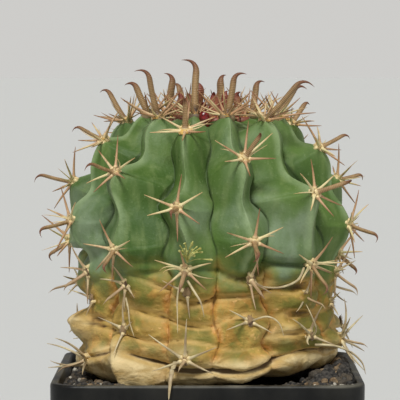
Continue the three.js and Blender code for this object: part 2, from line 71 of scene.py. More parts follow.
# The ribs: bearing of the crest, in degrees from the front to the right; where its areoles lie,
# as the distance from the middle of the crown along the outline; for the furrow on its right, how
# many degrees it lies off the middle and how strongly it gives way to a swelling; and how many
# degrees the rib drifts to the right in the corky part
RIBS = [
    (-103, [13, 35, 69, 93, 110, 128], 0, 2.2, 4),
    (-73, [10, 25, 47, 83, 104, 115, 139], 1, 2.4, 9),
    (-43, [14, 29, 62, 93, 108, 125], 5.5, 1.7, 4.5),
    (-13, [8, 21, 40.5, 76, 101, 110, 136], -1, 0.8, 4),
    (17, [12, 26, 55, 89, 105, 121], -6.5, 1.7, 1.5),
    (47, [9, 32, 71, 100, 113, 129], 1, 2.4, 2),
    (77, [14, 29, 51, 85, 105, 117, 134], -2, 1.6, -2),
    (107, [10, 37, 68, 99, 112, 128], 3, 2.3, -4),
    (137, [13, 27, 57, 90, 105, 119, 135], -3, 2.0, 2),
    (167, [9, 24, 40, 74, 99, 112, 127], 1, 1.2, 5),
    (197, [14, 31, 60, 92, 107, 122, 138], 3, 2.4, -3),
    (227, [10, 22, 44, 80, 103, 116, 134], -2, 1.8, 3),
]
RIB_COUNT = len(RIBS)
HALF_PITCH = 180 / RIB_COUNT
NOTCH_SHARE = 0.23
CREST_YIELD = 0.35
SWELLING_LEAD = 0.12
FOLDS = [101, 109, 118.5, 128, 137.5]
FOLD_DEPTH = 3.8
FOLD_WAVES = [(3, 0.4), (2, 1.2), (3, 2.0), (2, 3.5), (1, 1.5)]  # how each fold fades around the stem

# Swollen lobes of the old base: bearing, distance along the outline, their half widths in
# degrees and in millimetres, and how far they stand out
LOBES = [
    (-96, 108, 20, 7, 2.0), (-78, 126, 15, 5.5, 5.0), (-47, 136, 12, 5, 4.5), (-28, 143, 8, 9, 5.0),
    (-12, 133, 8, 5, 3.0), (17, 141.5, 15, 4.5, 4.6), (35, 127, 12, 5, 2.6), (76, 136, 15, 6, 2.4),
    (90, 110, 20, 8, 1.6), (108, 127, 13, 6, 3.4), (140, 139, 13, 6, 4.2), (168, 126, 14, 6, 2.8),
    (196, 139, 13, 6, 4.2), (226, 128, 13, 7, 3.2), (-118, 141, 14, 6, 4.0),
]

# The flat old spine at the front that bends down over the rim: points with heights from the rim
RIM_SPINE = [(-11.5, -47, 7.5), (-12.2, -53, 8), (-13.2, -58, 6), (-14, -61.6, 1.8), (-14.6, -62.8, -5)]
RIM_SPINE_WIDTH = 2.4
RIM_AREOLE = 66  # the areole at the front that it grows from, as 20 times its rib plus its place

ROOT_SINK = 2.4
ROOT_RING = 1.6
RADIAL_WIDTH = 1.1
CENTRAL_WIDTH = 1.9
CROWN_CENTRAL_WIDTH = 3.0
HOOK_START = 0.62
RAISE_STEP = 0.15
MOST_RAISED = 3.0

# What is finer than the solids, or in the scene alone

RIDGE_HEIGHT = 0.8  # of the narrow line along each crest
HOOK_FULLNESS = 1.3  # how much broader the crown's hooks are than the solid ones
SEAM_DEPTH = 0.6  # of the thin seams between the ribs in the cork
SEAM_WAVER = 1.4  # degrees that such a seam wavers to each side
RIB_COLUMNS = 36
SKIN_ROWS = 196
STONES = 1500
SKIN_END = 153.0
FINE_STEPS = 48
OUTLINE_STEPS = 8001
FELT_RADIUS = 2.2
FELT_HEIGHT = 0.9
FELT_SCALES = (1.15, 0.75)  # of the felt in the crown and on old areoles
FIBRES = 60  # on each areole
STONE_SIZES = (0.6, 1.9)
LARGE_EVERY = 24  # every so many stones one is large
LARGE_SIZES = (2.0, 2.9)
PALE_EVERY = 30  # and one is pale
PALE_SIZES = (0.7, 1.2)
FRUIT_PLACE = (-3, 23.0, 98.5)  # bearing, distance from the axis and height above the rim
FRUIT_RADIUS = 2.1
FRUIT_REACH = 3.9

# Smaller relief of the old base, given as the lobes are, and the flare at the front left that runs
# down to the grit: bearing and distance along the outline of its two ends, half its width in degrees
RELIEF = [
    (-80, 126, 11, 4.5, 2.8), (-84, 117.5, 14, 3.2, -3.0), (-80, 134.5, 14, 3, -2.6),
    (-24, 138, 8, 5.5, -4.2), (-58, 131.5, 10, 3, -1.6), (62, 122, 9, 3, -1.4), (30, 134, 12, 2.6, -1.6),
    (45, 114.5, 10, 4, 1.4), (40, 123, 12, 3, 1.2), (-20, 113, 7, 4, 1.0), (8, 122, 8, 4, 1.0),
]
FLARE = [(-43, 124), (-34, 150)]
FLARE_WIDTH = 3.0
FLARE_HEIGHT = 3.8
FLARE_RISE = 10  # how far below its upper end it has its full height

# Short creases between the folds, given in the same way by their depth
CREASES = [
    (44, 110, 12, 1.3, 2.8), (50, 119, 13, 1.4, 3.0), (38, 127.5, 10, 1.3, 2.4), (-24, 104, 8, 1.2, 1.8),
    (24, 107, 9, 1.2, 2.2), (-60, 122, 8, 1.2, 2.2), (110, 114, 12, 1.3, 2.6), (150, 121, 12, 1.3, 2.4),
    (190, 113, 11, 1.3, 2.4), (222, 119, 12, 1.3, 2.6),
]

# The dead spine over the right edge of the pot, given as the flat one at the front is, and others
# that hang over the cork: width, and points by bearing, distance along the outline and height off it
CORNER_SPINE = [(41.5, -36, 13), (48.5, -34, 12.5), (55, -31, 10), (60, -29, 5.5), (61.6, -28, 0.5)]
HANGING_SPINES = [
    (1.0, [(44, 101, 0), (38, 104, 4), (30, 106, 5.5), (23, 106, 5), (18, 103.5, 5)]),
    (0.8, [(-9.5, 102, 0), (-11, 106, 5), (-11.8, 112, 5.5), (-11.8, 119, 5), (-11.5, 126, 4.5)]),
    (1.0, [(-8.5, 105, 0), (-5, 108, 5), (-2.5, 113, 6.5), (-1.2, 120, 5.5)]),
    (0.8, [(-38.5, 113, 0), (-33, 117, 5), (-31, 123, 6), (-29, 128, 5)]),
    (0.8, [(19, 121, 0), (24, 120, 5), (28, 123, 6.5), (30, 128, 6)]),
    (0.9, [(50, 129, 0), (46, 126, 6), (43, 121, 7.5), (41, 115, 7)]),
]
SPRIG_PLACE = (-8, 97, 0.5)
SPRIG_WISPS = 22

# The photograph's view

IMAGE = 400.0  # pixels across
FRONT_SPAN = 320.0  # pixels that the pot's front rim spans
FRONT_CENTRE = 207.5  # pixels to the middle of that rim
CAMERA_TO_RIM = 960.0  # from the camera to the pot's front
CAMERA_ABOVE_RIM = 120.5
HORIZON = 66.0  # pixels down to the level of the camera
SENSOR = 36.0

# How bright the surroundings are at the horizon and overhead, and between which rises they fade
WORLD_AT_HORIZON = 0.84
WORLD_OVERHEAD = 0.22
FADE_START = 0.04
FADE_END = 0.5

# Where each light comes from, its strength and how many degrees it spreads
KEY_SUN = ((-0.25, -1.1, 1.5), 2.8, 16)
FILL_SUN = ((1.4, -0.9, 0.7), 0.35, 60)

MM = 0.001


# Small helpers


def mix(a, b, share):
    return a + (b - a) * share


def ramp(x, low, high):
    share = np.clip((np.asarray(x, float) - low) / (high - low), 0, 1)
    return share * share * (3 - 2 * share)


def draw(a, b):
    """A repeatable draw from 0 to 1 for a pair of numbers."""
    x = np.sin(np.asarray(a, float) * 12.9898 + np.asarray(b, float) * 78.233 + 4.1) * 43758.5453
    return x - np.floor(x)


def sway(a, b):
    """A repeatable draw from -1 to 1."""
    return 2 * draw(a, b) - 1


def around(bearing, radius, z):
    return np.stack(np.broadcast_arrays(radius * np.sin(bearing), -radius * np.cos(bearing), z), -1)


def unit(v):
    return v / np.maximum(np.linalg.norm(v, axis=-1, keepdims=True), 1e-9)


def through(points, count):
    """Points spread evenly by number along a smooth curve through the given ones."""
    points = np.array(points, float)
    last = len(points) - 1
    p = np.linspace(0, last, count)
    i = np.minimum(p.astype(int), last - 1)
    w = (p - i)[:, None]
    b, c = points[i], points[i + 1]
    v0 = (c - points[np.maximum(i - 1, 0)]) / 2
    v1 = (points[np.minimum(i + 2, last)] - b) / 2
    return (2 * b - 2 * c + v0 + v1) * w**3 + (-3 * b + 3 * c - 2 * v0 - v1) * w**2 + v0 * w + b


def noise_at(points, size, seed=0.0):
    """Smooth noise from -1 to 1 with features of about size millimetres."""
    flat = points.reshape(-1, 3) / size + seed
    values = [noise.noise(Vector(p)) for p in flat]
    return np.array(values).reshape(points.shape[:-1])


def add_mesh(name, points, faces, material, attributes=None, smooth=True):
    """A piece on the root body from points in millimetres above the pot's underside."""
    me = bpy.data.meshes.new(name)
    me.from_pydata((np.asarray(points, float) * MM).tolist(), [], [list(map(int, f)) for f in faces])
    me.polygons.foreach_set("use_smooth", [smooth] * len(me.polygons))
    for key, values in (attributes or {}).items():
        layer = me.attributes.new(key, "FLOAT", "POINT")
        layer.data.foreach_set("value", np.asarray(values, np.float32))
    me.materials.append(material)
    me.update()
    piece = bpy.data.objects.new(name, me)
    bpy.context.scene.collection.objects.link(piece)
    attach(piece, "root")
    return piece


class Heap:
    """Gathers many small meshes and their per-point values into one."""

    def __init__(self):
        self.points, self.faces, self.values, self.count = [], [], {}, 0

    def add(self, points, faces, **values):
        points = np.asarray(points, float).reshape(-1, 3)
        self.points.append(points)
        self.faces.extend([[i + self.count for i in face] for face in faces])
        for key, value in values.items():
            self.values.setdefault(key, []).append(np.broadcast_to(value, len(points)).ravel())
        self.count += len(points)

    def make(self, name, material, smooth=True):
        values = {key: np.concatenate(parts) for key, parts in self.values.items()}
        return add_mesh(name, np.concatenate(self.points), self.faces, material, values, smooth)


def grid_faces(rows, columns):
    faces = []
    for i in range(rows - 1):
        for j in range(columns):
            k = (j + 1) % columns
            faces.append([i * columns + j, i * columns + k, (i + 1) * columns + k, (i + 1) * columns + j])
    return faces


def closed_faces(rows, columns):
    """The faces of a grid whose first and last rings close on the two points that follow it."""
    end = rows * columns
    faces = grid_faces(rows, columns)
    for j in range(columns):
        faces.append([end, (j + 1) % columns, j])
    for j in range(columns):
        faces.append([end - columns + j, end - columns + (j + 1) % columns, end + 1])
    return faces


def tube_faces(rings, sides):
    """The faces of a tube with a flat cap at each end."""
    first = list(range(sides))[::-1]
    last = [(rings - 1) * sides + j for j in range(sides)]
    return grid_faces(rings, sides) + [first, last]


# Materials


def linear(r, g, b):
    """A colour given 0 to 255, as the linear values that a shader takes."""
    shares = [c / 255 for c in (r, g, b)]
    return tuple(c / 12.92 if c < 0.04045 else ((c + 0.055) / 1.055) ** 2.4 for c in shares) + (1.0,)


class Nodes:
    """A short way to write a node material. An input is a value or the output of another node."""

    def __init__(self, name):
        self.material = bpy.data.materials.new(name)
        self.material.use_nodes = True
        self.tree = self.material.node_tree
        self.tree.nodes.clear()
        self.shader = self.node("BsdfPrincipled")
        self.node("OutputMaterial", Surface=self.shader.outputs[0])
        self.where = self.node("TexCoord").outputs["Object"]

    def node(self, kind, **inputs):
        node = self.tree.nodes.new("ShaderNode" + kind)
        self.fill(node, inputs)
        return node

    def fill(self, node, inputs):
        for key, value in inputs.items():
            self.put(value, node.inputs[key.replace("_", " ")])

    def put(self, value, target):
        if hasattr(value, "links"):
            self.tree.links.new(value, target)
        else:
            target.default_value = value

    def set(self, **inputs):
        self.fill(self.shader, inputs)

    def attribute(self, name):
        node = self.node("Attribute")
        node.attribute_name = name
        return node.outputs["Fac"]

    def noise(self, scale, detail=2.0, stretch=None, distortion=0.0):
        where = self.stretched(stretch)
        node = self.node("TexNoise", Scale=scale, Detail=detail, Distortion=distortion, Vector=where)
        return node.outputs[0]

    def cells(self, scale):
        return self.node("TexVoronoi", Scale=scale, Vector=self.where).outputs["Distance"]

    def stretched(self, stretch):
        if stretch is None:
            return self.where
        return self.node("Mapping", Scale=stretch, Vector=self.where).outputs[0]

    def span(self, value, low, high, to_low=0.0, to_high=1.0):
        node = self.node("MapRange", Value=value, From_Min=low, From_Max=high, To_Min=to_low, To_Max=to_high)
        node.interpolation_type = "SMOOTHSTEP"
        return node.outputs[0]

    def maths(self, operation, a, b):
        node = self.node("Math")
        node.operation = operation
        self.put(a, node.inputs[0])
        self.put(b, node.inputs[1])
        return node.outputs[0]

    def times(self, a, b):
        return self.maths("MULTIPLY", a, b)

    def plus(self, a, b):
        return self.maths("ADD", a, b)

    def blend(self, a, b, share):
        node = self.node("Mix")
        node.data_type = "RGBA"
        self.put(share, node.inputs["Factor"])
        self.put(a, node.inputs[6])
        self.put(b, node.inputs[7])
        return node.outputs[2]

    def bump(self, height, strength, distance, **under):
        node = self.node("Bump", Height=height, Strength=strength, Distance=distance, **under)
        return node.outputs[0]


def skin_material():
    n = Nodes("cactus_skin")
    crest, cork, crease, seam = map(n.attribute, ("crest", "cork", "crease", "seam"))
    groove, base, height = map(n.attribute, ("groove", "base", "height"))
    patches = n.noise(38, 3, (1, 1, 0.7))
    mottle = n.noise(150, 4, (1, 1, 0.6), 0.4)
    streaked = n.noise(260, 3, (1, 1, 0.22), 0.3)
    specks = n.noise(900, 2)

    green = n.blend(linear(58, 88, 28), linear(86, 114, 48), n.span(patches, 0.3, 0.7))
    green = n.blend(green, linear(118, 136, 80), n.span(streaked, 0.42, 0.8, 0, 0.6))
    lower = n.span(height, 0.5, 0.95, 0.25, 1.0)
    clouds = n.noise(30, 4, (1, 1, 0.8))
    bloom = n.times(n.span(clouds, 0.44, 0.62), n.span(mottle, 0.25, 0.7, 0.3, 1.0))
    bloom = n.times(bloom, lower)
    green = n.blend(green, linear(134, 150, 124), n.times(bloom, 0.8))
    # Painted highlight: the skin is lighter along each crest, as if light caught it there.
    ridge = n.times(n.span(crest, 0.72, 1.0), n.span(mottle, 0.3, 0.6, 0.2, 0.8))
    green = n.blend(green, linear(156, 176, 130), n.times(ridge, 0.66))
    # Painted shade: a dark line along the bottom of each furrow between the ribs.
    green = n.blend(green, linear(36, 54, 20), n.times(seam, 0.7))
    # Painted shade: the skin darkens in the creases between the folds.
    green = n.blend(green, linear(46, 66, 26), n.span(crease, 0.3, 1.0, 0, 0.8))
    green = n.blend(green, linear(160, 176, 130), n.span(specks, 0.62, 0.78, 0, 0.2))

    streaks = n.noise(90, 5, (1, 1, 2.2), 0.6)
    blots = n.noise(58, 5, None, 0.8)
    ochre = n.blend(linear(138, 110, 42), linear(184, 152, 76), n.span(streaks, 0.36, 0.62))
    moss = n.times(n.span(blots, 0.42, 0.56), n.span(crease, 0.5, 0.1))
    moss = n.times(moss, n.span(groove, 0.75, 0.2))
    ochre = n.blend(ochre, linear(112, 112, 42), n.times(moss, 0.85))
    flakes = n.noise(240, 5, (1, 1, 0.7), 0.5)
    seams = n.times(n.span(groove, 0.5, 0.85), n.span(flakes, 0.42, 0.56))
    rust = n.times(n.span(n.noise(110, 6, None, 1.0), 0.52, 0.68), n.span(base, 0, 1, 0.42, 0.12))
    ochre = n.blend(ochre, linear(200, 136, 62), n.maths("MAXIMUM", n.times(seams, 0.6), rust))
    scabs = n.times(n.span(n.noise(420, 5, None, 0.3), 0.6, 0.68), n.span(blots, 0.35, 0.6, 1, 0.1))
    scabs = n.maths("MAXIMUM", scabs, n.times(n.span(groove, 0.4, 0.9), n.span(flakes, 0.56, 0.62)))
    ochre = n.blend(ochre, linear(228, 180, 116), n.times(scabs, 0.6))
    pale = n.blend(linear(182, 152, 96), linear(224, 202, 152), n.span(streaks, 0.34, 0.62))
    pale = n.blend(pale, linear(160, 116, 60), n.span(blots, 0.56, 0.7, 0, 0.6))
    # Paler old base and lobes: partly the old cork's own colour, partly painted light on the shaded lowest
    # belt and on the lobes that stand out.
    ochre = n.blend(ochre, pale, n.span(base, 0.0, 1.0, 0, 0.85))
    edge = n.times(n.span(crease, 0.1, 0.35), n.span(crease, 0.6, 0.4))
    ochre = n.blend(ochre, linear(196, 164, 98), n.times(edge, 0.6))
    # Painted shade: darkest brown in the bottoms of the creases between the corky folds.
    ochre = n.blend(ochre, linear(66, 42, 14), n.span(crease, 0.5, 0.85, 0, 0.9))
    cleft = n.times(n.span(groove, 0.88, 0.98), n.span(base, 0.5, 0.1))
    ochre = n.blend(ochre, linear(112, 74, 30), n.times(cleft, n.span(blots, 0.35, 0.6, 0.15, 0.6)))

    age = n.plus(cork, n.span(n.noise(60, 4), 0.3, 0.7, -0.2, 0.2))
    border = n.span(age, 0.42, 0.78)
    green = n.blend(green, linear(116, 122, 52), n.span(age, 0.26, 0.5, 0, 0.8))
    n.set(Base_Color=n.blend(green, ochre, border))
    n.set(Roughness=n.plus(n.span(border, 0, 1, 0.6, 0.66), n.span(mottle, 0, 1, -0.06, 0.06)))
    n.set(Specular_IOR_Level=0.36)
    fine = n.bump(n.plus(specks, streaked), 0.3, 0.0006)
    rough = n.times(n.plus(streaks, n.noise(420, 4, (1, 1, 1.8))), border)
    n.set(Normal=n.bump(rough, 0.5, 0.0011, Normal=fine))
    return n.material


def spine_material():
    n = Nodes("spine_horn")
    along, reach, bulb = map(n.attribute, ("along", "reach", "bulb"))
    tone, red, dead, broad, band = map(n.attribute, LOOKS)
    grain = n.noise(700, 3)
    blotch = n.noise(160, 3)
    rings = n.span(n.maths("SINE", n.times(reach, 9.5), 0.0), -1, 1)

    pale = n.blend(linear(228, 212, 160), linear(206, 170, 118), n.span(along, 0.35, 0.95))
    brown = n.blend(linear(196, 156, 116), linear(140, 96, 60), n.span(along, 0.15, 0.95))
    colour = n.blend(pale, brown, n.span(n.plus(tone, n.span(blotch, 0.3, 0.7, -0.2, 0.2)), 0.3, 0.7))
    horn = n.blend(linear(136, 106, 70), linear(158, 128, 86), rings)
    # Painted highlight: pale streaks along the broad spines stand in for light on their edges.
    highlight_streaks = n.span(n.noise(420, 2, (1, 1, 0.12)), 0.4, 0.6)
    horn = n.blend(horn, linear(182, 150, 102), n.times(highlight_streaks, 0.35))
    horn = n.blend(horn, linear(112, 66, 40), n.span(along, 0.55, 0.85))
    horn = n.blend(horn, linear(44, 26, 20), n.times(n.span(along, 0.2, 0.06), band))
    colour = n.blend(colour, horn, broad)
    crimson = n.blend(linear(172, 44, 40), linear(112, 24, 26), along)
    colour = n.blend(colour, crimson, red)
    bone = n.blend(linear(206, 192, 152), linear(158, 140, 108), n.span(blotch, 0.35, 0.65))
    colour = n.blend(colour, bone, n.times(dead, 0.85))
    knob = n.times(n.span(bulb, 0.2, 0.8), n.span(band, 0, 1, 0.85, 0.1))
    colour = n.blend(colour, linear(234, 212, 158), knob)
    colour = n.blend(colour, linear(92, 58, 36), n.span(grain, 0.58, 0.8, 0, 0.45))
    n.set(Base_Color=colour, Roughness=n.span(grain, 0.3, 0.7, 0.4, 0.58))
    n.set(Normal=n.bump(n.plus(n.times(rings, broad), grain), 0.4, 0.0003))
    return n.material


def plain_material(name, dark, light, scale, roughness, bump=0.4, depth=0.0004):
    n = Nodes(name)
    grain = n.noise(scale, 4)
    n.set(Base_Color=n.blend(linear(*dark), linear(*light), n.span(grain, 0.3, 0.7)))
    n.set(Roughness=roughness, Normal=n.bump(grain, bump, depth))
    return n.material


def grit_material():
    n = Nodes("grit_stone")
    kind = n.attribute("tone")
    grain = n.noise(600, 4)
    pores = n.cells(900)
    dark = n.blend(linear(26, 25, 24), linear(78, 74, 68), n.span(grain, 0.35, 0.7))
    dark = n.blend(dark, linear(96, 84, 66), n.span(kind, 0.3, 0.6, 0, 0.5))
    tan = n.blend(linear(92, 72, 48), linear(154, 132, 102), n.span(grain, 0.3, 0.7))
    white = n.blend(linear(150, 144, 130), linear(206, 200, 184), n.span(grain, 0.3, 0.7))
    colour = n.blend(dark, tan, n.span(kind, 0.8, 0.82))
    colour = n.blend(colour, white, n.span(kind, 0.95, 0.96))
    n.set(Base_Color=colour, Roughness=0.9)
    n.set(Normal=n.bump(n.plus(grain, pores), 0.7, 0.0006))
    return n.material


def pot_material():
    n = Nodes("pot_plastic")
    dust = n.noise(60, 5)
    fine = n.noise(800, 3)
    scuffs = n.noise(120, 4, (1, 1, 0.15))
    worn = n.attribute("worn")
    black = n.blend(linear(5, 6, 6), linear(14, 15, 15), n.span(scuffs, 0.4, 0.7))
    film = n.times(n.span(dust, 0.35, 0.75), n.times(n.maths("POWER", worn, 2.0), 0.8))
    n.set(Base_Color=n.blend(black, linear(128, 124, 110), film))
    n.set(Roughness=n.plus(n.span(film, 0, 1, 0.42, 0.8), n.span(fine, 0, 1, -0.05, 0.05)))
    n.set(Specular_IOR_Level=0.25)
    n.set(Normal=n.bump(n.plus(fine, scuffs), 0.15, 0.0003))
    return n.material


# The plant's form


def outline_table():
    """The outline as a table of arc length, radius, height and outward direction."""
    curve = through(ENVELOPE, OUTLINE_STEPS)
    steps = np.linalg.norm(np.diff(curve, axis=0), axis=1)
    arc = np.concatenate([[0], np.cumsum(steps)])
    tangent = unit(np.gradient(curve, arc, axis=0))
    return arc, curve[:, 0], curve[:, 1], -tangent[:, 1], tangent[:, 0]


OUTLINE = outline_table()


def envelope_at(s):
    """Radius, height and outward direction of the outline at distance s from the crown's middle."""
    arc, *columns = OUTLINE
    s = np.clip(s, 0, arc[-1])
    return [np.interp(s, arc, column) for column in columns]


def phase_of(k, s):
    """Where s lies between two areoles of rib k, 0 at the upper and 1 at the lower, and their distance."""
    areoles = RIBS[k][1]
    stops = np.array([areoles[0] - 12, *areoles, areoles[-1] + 15], float)
    after = np.searchsorted(stops, s, side="right")
    low = np.clip(after - 1, 0, len(stops) - 2)
    gap = stops[low + 1] - stops[low]
    t = np.clip((s - stops[low]) / gap, 0, 1)
    outside = (after == 0) | (after == len(stops))
    return t, np.where(outside, 12.0, gap)


def swelling(k, s):
    return np.cos(2 * math.pi * (phase_of(k, s)[0] + SWELLING_LEAD))


def notch_bump(t):
    """0 at both areoles, 1 where the crest dips most between them."""
    return np.sin(math.pi * t**1.4) ** 1.5


def furrow_depth(s, r):
    green = mix(0, 12.5, ramp(s, 2, 58))
    depth = mix(green, 3.2, ramp(s, 68, 112))
    return np.minimum(depth, 0.36 * r) * (1 - 0.6 * ramp(s, 134, 150))


def furrow_shift(k, s):
    """Degrees that the furrow between rib k and the next one lies off the middle."""
    _, _, tilt, swing, _ = RIBS[k % RIB_COUNT]
    push = swelling(k % RIB_COUNT, s) - swelling((k + 1) % RIB_COUNT, s)
    waver = SEAM_WAVER * np.sin(0.27 * s + 1.9 * (k % RIB_COUNT)) * ramp(s, 94, 104)
    return (tilt + swing * push * (1 - 0.6 * ramp(s, 76, 100))) * ramp(s, 12, 40) + waver


def drift(k, s):
    return RIBS[k % RIB_COUNT][4] * ramp(s, 60, 105)


def crest_shift(k, s):
    """Degrees that the crest of rib k gives way between its areoles."""
    return CREST_YIELD * notch_bump(phase_of(k, s)[0]) * (furrow_shift(k - 1, s) + furrow_shift(k, s))


def wrinkle(bearing, v):
    wave = 2.2 * np.sin(bearing + 0.6) + 1.6 * np.sin(3 * bearing + 1) + 1.0 * np.sin(5 * bearing + 2.2)
    return wave * ramp(v, 86, 100) * (1 - ramp(v, 140, 153))


def fold_depth(bearing, v):
    """Depth of the corky folds: 0 on the back of a fold, deepest in its crease."""
    folds = np.array(FOLDS, float)
    below = np.clip(np.searchsorted(folds, v), 1, len(folds) - 1)
    share = (v - folds[below - 1]) / (folds[below] - folds[below - 1])
    inner = 1 - np.sqrt(np.clip(4 * share * (1 - share), 0, 1))
    above = ramp(v, folds[0] - 7, folds[0]) ** 2
    under = 1 - ramp(v, folds[-1], folds[-1] + 4)
    depth = np.where(v <= folds[0], above, np.where(v > folds[-1], under, inner))
    waves, phase = np.array(FOLD_WAVES, float)[np.abs(v[..., None] - folds).argmin(-1)].T
    uneven = 0.6 + 0.4 * np.sin(waves.T * bearing + phase.T)
    return FOLD_DEPTH * depth * uneven


def lobe_height(bearing, s, lobes=LOBES):
    """How far the swellings of a list stand out together."""
    height = 0
    for middle, place, wide, tall, reach in lobes:
        turn = (np.degrees(bearing) - middle + 180) % 360 - 180
        height = height + reach * np.exp(-((turn / wide) ** 2) - ((s - place) / tall) ** 2)
    return height


def flare_height(bearing, s):
    (top, start), (foot, end) = FLARE
    middle = mix(top, foot, (s - start) / (end - start))
    turn = (np.degrees(bearing) - middle) / FLARE_WIDTH
    return FLARE_HEIGHT * np.exp(-(turn**2)) * ramp(s, start, start + FLARE_RISE)


def base_lift(bearing, s):
    return 5 * np.maximum(0, np.cos(bearing - math.radians(62))) ** 2 * ramp(s, 122, 146)


def lump_shift(k, v):
    """How far the folds lie off their place on the crest of rib k."""
    return 2.6 * np.sin(0.2 * v + 2.4 * k) * ramp(v, 92, 104) * (1 - ramp(v, 136, 148))


def skin_points(k, across, v):
    """Points of the skin, where across runs from -1 to 1 over rib k, and values to colour it by."""
    middle = RIBS[k][0]
    crest = np.radians(middle + drift(k, v) + crest_shift(k, v))
    before = np.radians(middle - HALF_PITCH + (drift(k - 1, v) + drift(k, v)) / 2 + furrow_shift(k - 1, v))
    after = np.radians(middle + HALF_PITCH + (drift(k, v) + drift(k + 1, v)) / 2 + furrow_shift(k, v))
    edge = np.where(across < 0, before, after)
    bearing = mix(crest, edge, np.abs(across))
    s = v + wrinkle(bearing, v)
    r, h, nr, nh = envelope_at(s)
    t, gap = phase_of(k, s)
    notch = notch_bump(t) * NOTCH_SHARE * gap * ramp(s, 4, 24) * (1 - 0.55 * ramp(s, 64, 84))
    sharp = ramp(t, 0.3, 0.9)
    flank = np.abs(across) ** mix(1.55, 1.1, sharp)
    side = mix(flank, np.abs(across) ** 3, ramp(s, 98, 110))
    flare = flare_height(bearing, s)
    folds = fold_depth(bearing, v + lump_shift(k, v) * (1 - across**2)) * ramp(v, 92, 99)
    relief = lobe_height(bearing, s, RELIEF)
    folds = folds * (1 - 0.85 * np.clip((flare + np.maximum(relief, 0)) / 3, 0, 1))
    folds = folds + lobe_height(bearing, s, CREASES)
    inset = notch * (1 - 0.7 * np.abs(across) ** 1.3) + furrow_depth(s, r) * side + folds
    seam = np.exp(-(((1 - np.abs(across)) / 0.05) ** 2)) * ramp(s, 98, 110) * (1 - ramp(s, 130, 138))
    inset = inset + SEAM_DEPTH * seam - flare - relief
    lobes = lobe_height(bearing, s)
    ridge = RIDGE_HEIGHT * np.exp(-((across / 0.09) ** 2)) * np.sin(math.pi * t)
    ridge = ridge * ramp(s, 14, 34) * (1 - ramp(s, 88, 100))
    inset = inset - lobes - ridge
    points = around(bearing, np.maximum(0, r - nr * inset), RIM_Z + h - nh * inset + base_lift(bearing, s))
    return {
        "points": points,
        "s": s,
        "crest": 1 - np.abs(across) + 0 * s,
        "crease": np.minimum(folds / FOLD_DEPTH, 1),
        "lobe": (lobes + 0.4 * flare) / 4.5,
    }


def make_skin():
    v = np.linspace(1.0, SKIN_END, SKIN_ROWS)[:, None]
    even = np.arange(RIB_COLUMNS) / RIB_COLUMNS * 2 - 1
    across = (even - 0.6 * np.sin(2 * math.pi * even) / (2 * math.pi))[None, :]
    parts = [skin_points(k, across, v) for k in range(RIB_COUNT)]
    points, s, crest, crease, lobe = (
        np.concatenate([part[key] for part in parts], 1)
        for key in ("points", "s", "crest", "crease", "lobe")
    )
    furrow = 1 - crest
    down = np.gradient(points, axis=0)
    sideways = np.roll(points, -1, 1) - np.roll(points, 1, 1)
    normal = unit(np.cross(down, sideways))
    cork = ramp(s, 99, 113)
    lumps = 0.5 * noise_at(points, 16.0) + 0.22 * noise_at(points, 6.0, 7.0)
    bumps = 1.2 * noise_at(points, 9.0, 11.0) * cork
    scurf = np.abs(noise_at(points * [1, 1, 1.7], 3.2, 3.0)) * 0.35
    # seam marks the bottom of each furrow, where the skin is painted dark as shade.
    seam = ramp(furrow, 0.93, 1.0)
    # pale marks the old base and the lobes, coloured paler: partly their own colour, partly painted light.
    pale = np.maximum(ramp(s, 133, 142), np.clip(lobe, 0, 1) * ramp(s, 112, 124))
    points = points + normal * (lumps * ramp(s, 20, 60) + bumps - scurf * cork)[..., None]
    apex = [0, 0, RIM_Z + ENVELOPE[0][1]]
    under = [0, 0, RIM_Z + ENVELOPE[-1][1]]
    flat = np.concatenate([points.reshape(-1, 3), [apex, under]])
    faces = [face[::-1] for face in closed_faces(SKIN_ROWS, points.shape[1])]
    values = {
        "crest": crest,
        "cork": (s - 90) / 30,
        "height": s / 100,
        "crease": crease * ramp(s, 90, 100),
        "seam": seam * ramp(s, 18, 40),
        "groove": furrow**3,
        "base": pale,
    }
    values = {key: np.append(value.ravel(), [0, 1]) for key, value in values.items()}
    skin = add_mesh("stem_skin", flat, faces, skin_material(), values)
    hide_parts("stem")


# Spines


def areole_frame(k, index):
    """The place of an areole and its directions: out of the skin, up along the rib, to the right."""
    s = float(RIBS[k][1][index])
    bearing = math.radians(RIBS[k][0] + drift(k, s))
    r, h, nr, nh = envelope_at(s)
    lobe = lobe_height(bearing, s)
    radial = around(bearing, 1.0, 0.0)
    up = np.array([0, 0, 1.0])
    return {
        "s": s,
        "seed": 20 * k + index,
        "place": around(bearing, r + nr * lobe, RIM_Z + h + nh * lobe + base_lift(bearing, s)),
        "out": radial * nr + up * nh,
        "along": -radial * nh + up * nr,
        "right": np.array([math.cos(bearing), math.sin(bearing), 0]),
    }


def lean(place, angle, lift):
    """A direction that leans from the skin: angle is clockwise from up along the rib."""
    flat = math.cos(math.radians(lift))
    return (
        place["out"] * math.sin(math.radians(lift))
        + place["along"] * flat * math.cos(math.radians(angle))
        + place["right"] * flat * math.sin(math.radians(angle))
    )


def spine_lines(spines):
    """The lines of spines that bend by curve over their length and by hook near the tip."""
    share = (np.arange(FINE_STEPS) + 0.5) / FINE_STEPS
    column = {key: np.array([spine[key] for spine in spines], float) for key in spines[0]}
    turn = column["curve"][:, None] * share + column["hook"][:, None] * ramp(share, HOOK_START, 1)
    angle = np.radians(turn)
    step = (column["length"] / FINE_STEPS)[:, None, None]
    moves = np.cos(angle)[..., None] * column["direction"][:, None] * step
    moves = moves + np.sin(angle)[..., None] * column["bend"][:, None] * step
    start = column["start"][:, None]
    return np.concatenate([start, start + np.cumsum(moves, axis=1)], axis=1), column


def soil_top(x, y):
    top = RIM_Z + SOIL_LEVEL
    for across, back, wide, long, rise in SOIL_HEAPS:
        top = top + rise * np.exp(-(((x - across) / wide) ** 2) - ((y - back) / long) ** 2)
    return top


